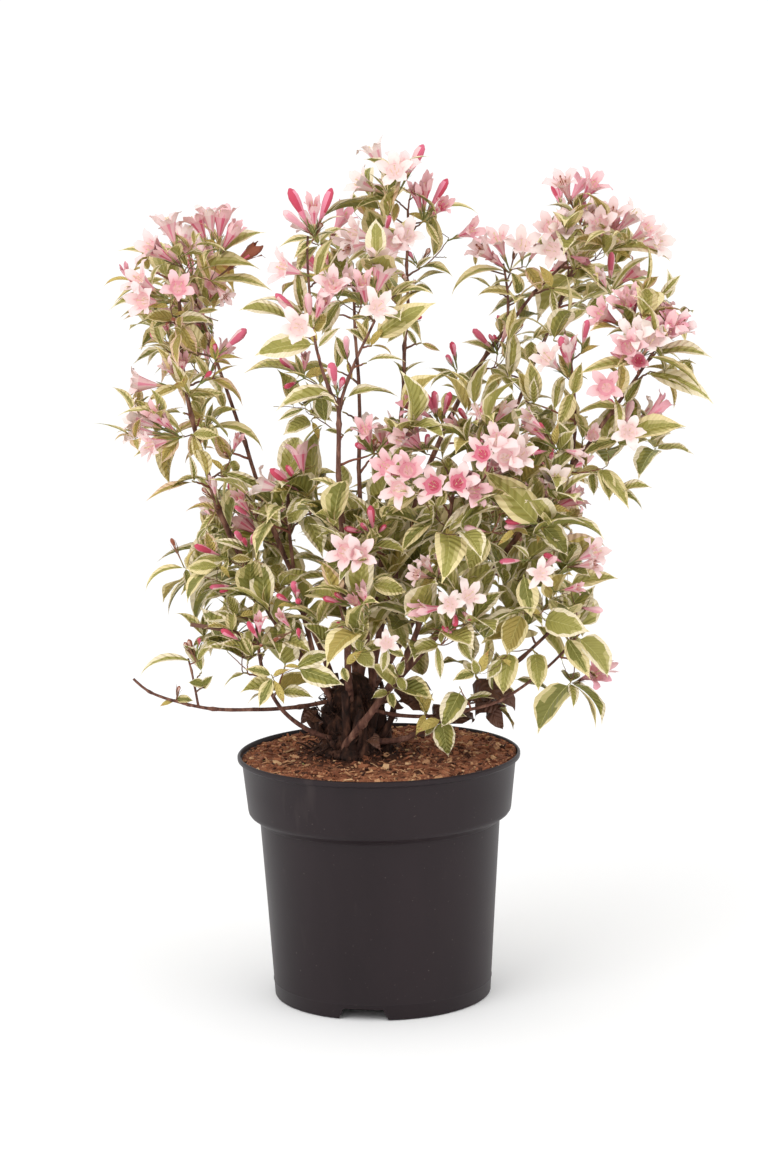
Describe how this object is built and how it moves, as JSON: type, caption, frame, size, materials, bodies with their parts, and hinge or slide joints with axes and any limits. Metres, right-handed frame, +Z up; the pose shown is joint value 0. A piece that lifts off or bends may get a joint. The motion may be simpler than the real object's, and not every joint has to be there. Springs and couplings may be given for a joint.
{
  "type": "potted weigela",
  "caption": "Flowering garden shrub with cream-edged leaves and pink funnel blossom, rooted in a black nursery pot that stands on its flat underside.",
  "frame": {"origin": "centre of the pot's underside, on the surface that the pot stands on", "axes": "+Z up, from the pot's underside to the top of the crown; the shrub's best side faces -Y, with +X to that view's right"},
  "size_m": [0.4979, 0.3299, 0.7045],
  "materials": {
    "pot_plastic": "charcoal black blow-moulded plastic, satin, with dust and light scuffs",
    "compost": "reddish brown bark and coir compost, loose and matt",
    "bark": "dark brown bark with fine lengthwise ridges, paler and olive on young shoots",
    "leaf": "soft green leaf with an uneven cream edge, satin above and paler below",
    "blossom": "thin pale pink petals, rose outside and in the bud"
  },
  "bodies": {
    "root": {"pot": "pot_plastic", "soil": "compost", "root_crown": "bark", "stem_arching_left": "bark", "stem_back": "bark", "stem_back_left": "bark", "stem_back_right": "bark", "stem_front": "bark", "stem_front_right": "bark", "stem_left": "bark", "stem_low_left": "bark", "stem_low_right": "bark", "stem_low_thin": "bark", "stem_mid_left": "bark", "stem_right": "bark", "stem_right_outer": "bark", "stem_top": "bark", "bough_front_left": "bark", "bough_front_right": "bark", "bough_right_inner": "bark", "bough_right_mid": "bark", "shoot_left_wand": "bark", "foliage_back": "leaf", "foliage_back_left": "leaf", "foliage_back_left_top": "blossom", "foliage_back_right": "leaf", "foliage_back_right_top": "blossom", "foliage_back_top": "blossom", "foliage_core": "leaf", "foliage_crown_right": "leaf", "foliage_crown_top": "blossom", "foliage_foot_right": "leaf", "foliage_front_centre": "blossom", "foliage_front_left_lower": "leaf", "foliage_front_left_top": "blossom", "foliage_front_left_upper": "leaf", "foliage_front_right": "blossom", "foliage_front_right_upper": "blossom", "foliage_left_inner": "leaf", "foliage_left_outer": "blossom", "foliage_left_shoulder": "leaf", "foliage_left_top": "blossom", "foliage_left_upper": "leaf", "foliage_left_wand": "leaf", "foliage_low_front": "leaf", "foliage_low_front_right": "blossom", "foliage_low_left": "leaf", "foliage_low_right": "leaf", "foliage_low_right_tip": "leaf", "foliage_mid_far_right": "leaf", "foliage_mid_front": "leaf", "foliage_mid_left": "leaf", "foliage_mid_right": "blossom", "foliage_right_inner": "leaf", "foliage_right_inner_top": "blossom", "foliage_right_outer_mid": "leaf", "foliage_right_outer_top": "blossom", "foliage_right_shoulder": "leaf", "foliage_right_tip": "leaf", "foliage_right_top": "blossom"}
  },
  "joints": []
}
